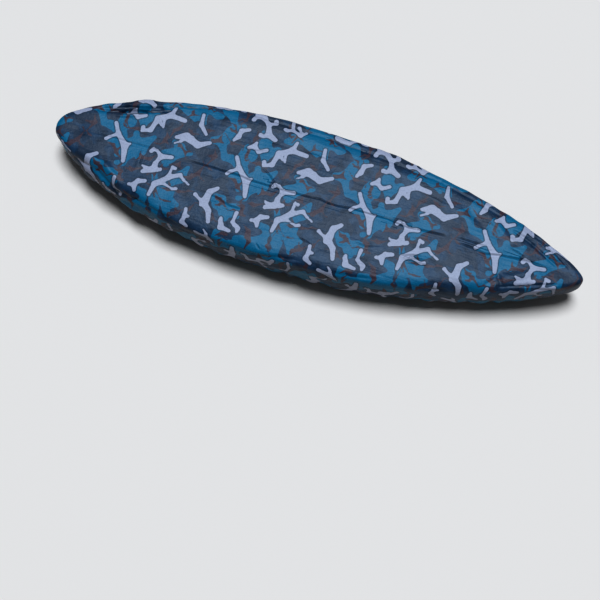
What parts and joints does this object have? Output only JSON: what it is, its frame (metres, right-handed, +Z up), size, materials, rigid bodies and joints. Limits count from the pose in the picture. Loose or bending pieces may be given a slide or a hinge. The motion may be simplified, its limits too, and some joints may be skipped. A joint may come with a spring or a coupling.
{
  "type": "kayak cover",
  "caption": "Fitted storage cover for a small open kayak, printed coated polyester with an elastic hem drawn in under the hull.",
  "frame": {"origin": "Against the underside of the cloth at the middle of the deck, where the deck carries the cover.", "axes": "+X along the cover to the sharp bow, +Y to port, +Z up."},
  "size_m": [2.7526, 0.7498, 0.2833],
  "materials": {
    "cover_cloth": "satin"
  },
  "bodies": {
    "root": {"cover": "cover_cloth"}
  },
  "joints": []
}
